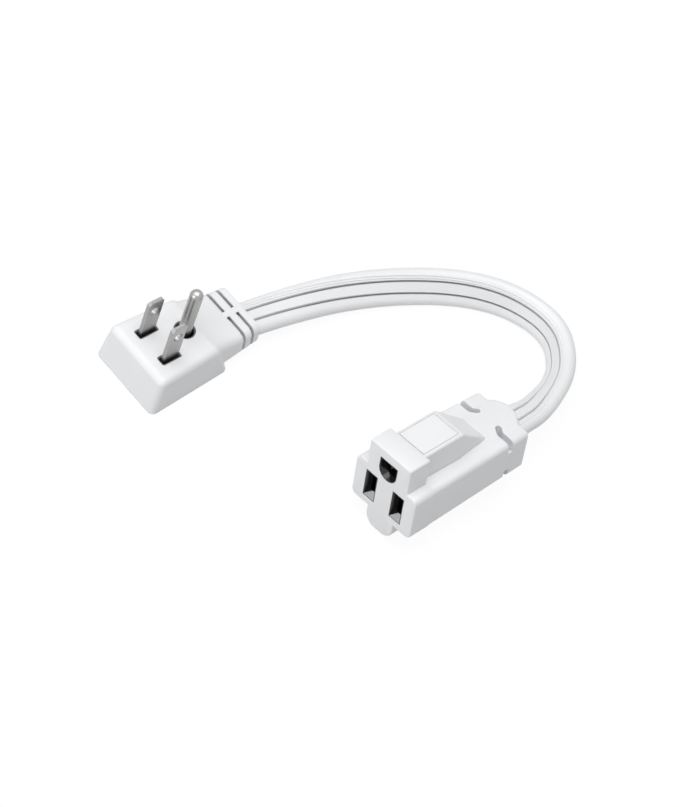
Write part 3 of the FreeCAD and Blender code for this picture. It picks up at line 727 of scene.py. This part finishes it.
def coloured_plastic(name, dark, light, patch, roughness):
    """Plastic in one colour that varies slightly in tone over patches of a size in millimetres."""
    plastic, plastic_shader = new_material(name)
    spot = add_node(plastic, "ShaderNodeTexCoord", {}, {})
    uneven = add_node(plastic, "ShaderNodeTexNoise", {}, {
        "Vector": spot.outputs["Object"], "Scale": 1.0 / (patch * mm)})
    tint = add_node(plastic, "ShaderNodeMix", {"data_type": "RGBA"}, {
        "Factor": uneven.outputs["Fac"], "A": linear_colour(dark), "B": linear_colour(light)})
    plastic.node_tree.links.new(tint.outputs["Result"], plastic_shader.inputs["Base Color"])
    plastic_shader.inputs["Roughness"].default_value = roughness
    return plastic


# Moulded nylon: glossy from a polished mould, finely mottled by its filler
black_nylon = coloured_plastic("black moulded nylon", "#0d0d0e", "#171718", 0.5, 0.14)
grey_nylon = coloured_plastic("dark grey moulded nylon", "#58585a", "#666668", 0.5, 0.14)

# Rolled spring brass: yellow metal, dulled a little by handling
contact_brass, shader = new_material("rolled spring brass")
place = add_node(contact_brass, "ShaderNodeTexCoord", {}, {})
grain = add_node(contact_brass, "ShaderNodeTexNoise", {}, {
    "Vector": place.outputs["Object"], "Scale": 1.0 / (2.0 * mm)})
shade = add_node(contact_brass, "ShaderNodeMix", {"data_type": "RGBA"}, {
    "Factor": grain.outputs["Fac"], "A": linear_colour("#7d6432"), "B": linear_colour("#94773f")})
contact_brass.node_tree.links.new(shade.outputs["Result"], shader.inputs["Base Color"])
shader.inputs["Metallic"].default_value = 1.0
shader.inputs["Roughness"].default_value = 0.35

# Stranded copper: bright red metal, with the lay of the strands as bands across it
copper, shader = new_material("stranded copper")
place = add_node(copper, "ShaderNodeTexCoord", {}, {})
strands = add_node(copper, "ShaderNodeTexWave", {"bands_direction": "DIAGONAL"}, {
    "Vector": place.outputs["Object"], "Scale": 1.0 / (4.0 * mm)})
shade = add_node(copper, "ShaderNodeMix", {"data_type": "RGBA"}, {
    "Factor": strands.outputs["Fac"], "A": linear_colour("#8a4a2c"), "B": linear_colour("#c87a52")})
copper.node_tree.links.new(shade.outputs["Result"], shader.inputs["Base Color"])
shader.inputs["Metallic"].default_value = 1.0
shader.inputs["Roughness"].default_value = 0.3

# Extruded PVC on each core: in the core's own colour, smooth, with a slight unevenness of tone
core_materials = {
    "hot": coloured_plastic("black PVC core", "#141414", "#1e1e1e", 3.0, 0.4),
    "neutral": coloured_plastic("white PVC core", "#dcdcd8", "#e8e8e4", 3.0, 0.4),
    "ground": coloured_plastic("green PVC core", "#1e6b38", "#2a7d45", 3.0, 0.4),
}
inner_materials = {
    "plug_bridge": grey_nylon,
    "contact_carrier": black_nylon,
    "connector_back_plate": black_nylon,
    "hot_contact": contact_brass,
    "neutral_contact": contact_brass,
    "ground_contact": contact_brass,
}
for end in ("plug", "connector"):
    for core, material in core_materials.items():
        inner_materials[end + "_" + core + "_core"] = material
        inner_materials[end + "_" + core + "_strands"] = copper
for node, material in inner_materials.items():
    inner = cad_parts[node]
    inner.data.materials.clear()
    inner.data.materials.append(material)

# Cord length
# The lead is 0.2 m of soft flat cord, moulded into the plug's neck at one end. The connector is its far end.
# The length of the cord's centre line is summed from its points.
cord_stretches = zip(cord_path, cord_path[1:])
cord_length = sum((Vector(second) - Vector(first)).length for first, second in cord_stretches)

# Floor and light
# White table that shows only a faint shadow, an even white room, a wide soft panel overhead, a smaller one
# on the left and a little softbox behind that glints on the lower lips of the slot mouths.
floor_material, shader = new_material("white table")
shader.inputs["Base Color"].default_value = linear_colour("#c8c8c8")
shader.inputs["Roughness"].default_value = 0.9
rays = add_node(floor_material, "ShaderNodeLightPath", {}, {})
seen = add_node(floor_material, "ShaderNodeMath", {"operation": "MAXIMUM"}, {
    0: rays.outputs["Is Camera Ray"], 1: rays.outputs["Is Glossy Ray"]})
seen = add_node(floor_material, "ShaderNodeMath", {"operation": "MAXIMUM"}, {
    0: seen.outputs["Value"], 1: rays.outputs["Is Transmission Ray"]})
share = add_node(floor_material, "ShaderNodeMath", {"operation": "MULTIPLY"}, {
    0: seen.outputs["Value"], 1: 0.86})
white = add_node(floor_material, "ShaderNodeEmission", {}, {
    "Color": (1.0, 1.0, 1.0, 1.0), "Strength": 1.08})
mixed = add_node(floor_material, "ShaderNodeMixShader", {}, {
    "Fac": share.outputs["Value"], 1: shader.outputs["BSDF"], 2: white.outputs["Emission"]})
floor_material.node_tree.links.new(mixed.outputs["Shader"],
                                   floor_material.node_tree.nodes["Material Output"].inputs["Surface"])
bpy.ops.object.select_all(action="DESELECT")
bpy.ops.mesh.primitive_plane_add(size=6.0)
floor = bpy.context.object
floor.name = "table"
floor.data.materials.append(floor_material)

world = bpy.data.worlds.new("white room")
bpy.context.scene.world = world
world.use_nodes = True
background = world.node_tree.nodes["Background"]
background.inputs["Color"].default_value = (1.0, 1.0, 1.0, 1.0)
rays = add_node(world, "ShaderNodeLightPath", {}, {})
seen = add_node(world, "ShaderNodeMath", {"operation": "MAXIMUM"}, {
    0: rays.outputs["Is Camera Ray"], 1: rays.outputs["Is Glossy Ray"]})
seen = add_node(world, "ShaderNodeMath", {"operation": "MAXIMUM"}, {
    0: seen.outputs["Value"], 1: rays.outputs["Is Transmission Ray"]})
strength = add_node(world, "ShaderNodeMapRange", {}, {
    "Value": seen.outputs["Value"], "To Min": 0.31, "To Max": 1.0})
world.node_tree.links.new(strength.outputs["Result"], background.inputs["Strength"])


def add_lamp(name, size, power, spot, target):
    """Square soft lamp at a place, turned to a target."""
    lamp_data = bpy.data.lights.new(name, "AREA")
    lamp_data.size = size
    lamp_data.energy = power
    lamp = bpy.data.objects.new(name, lamp_data)
    bpy.context.collection.objects.link(lamp)
    lamp.location = spot
    lamp.rotation_euler = (Vector(target) - Vector(spot)).to_track_quat("-Z", "Y").to_euler()


add_lamp("overhead panel", 1.3, 13.8, (-0.04, 0.02, 1.3), (0.05, -0.05, 0.0))
add_lamp("left panel", 0.8, 5.0, (-1.25, 0.05, 0.4), (0.05, -0.05, 0.0))
add_lamp("softbox behind on the left", 0.16, 0.95, (-0.61, 0.7, 0.9), (0.03, -0.09, 0.01))
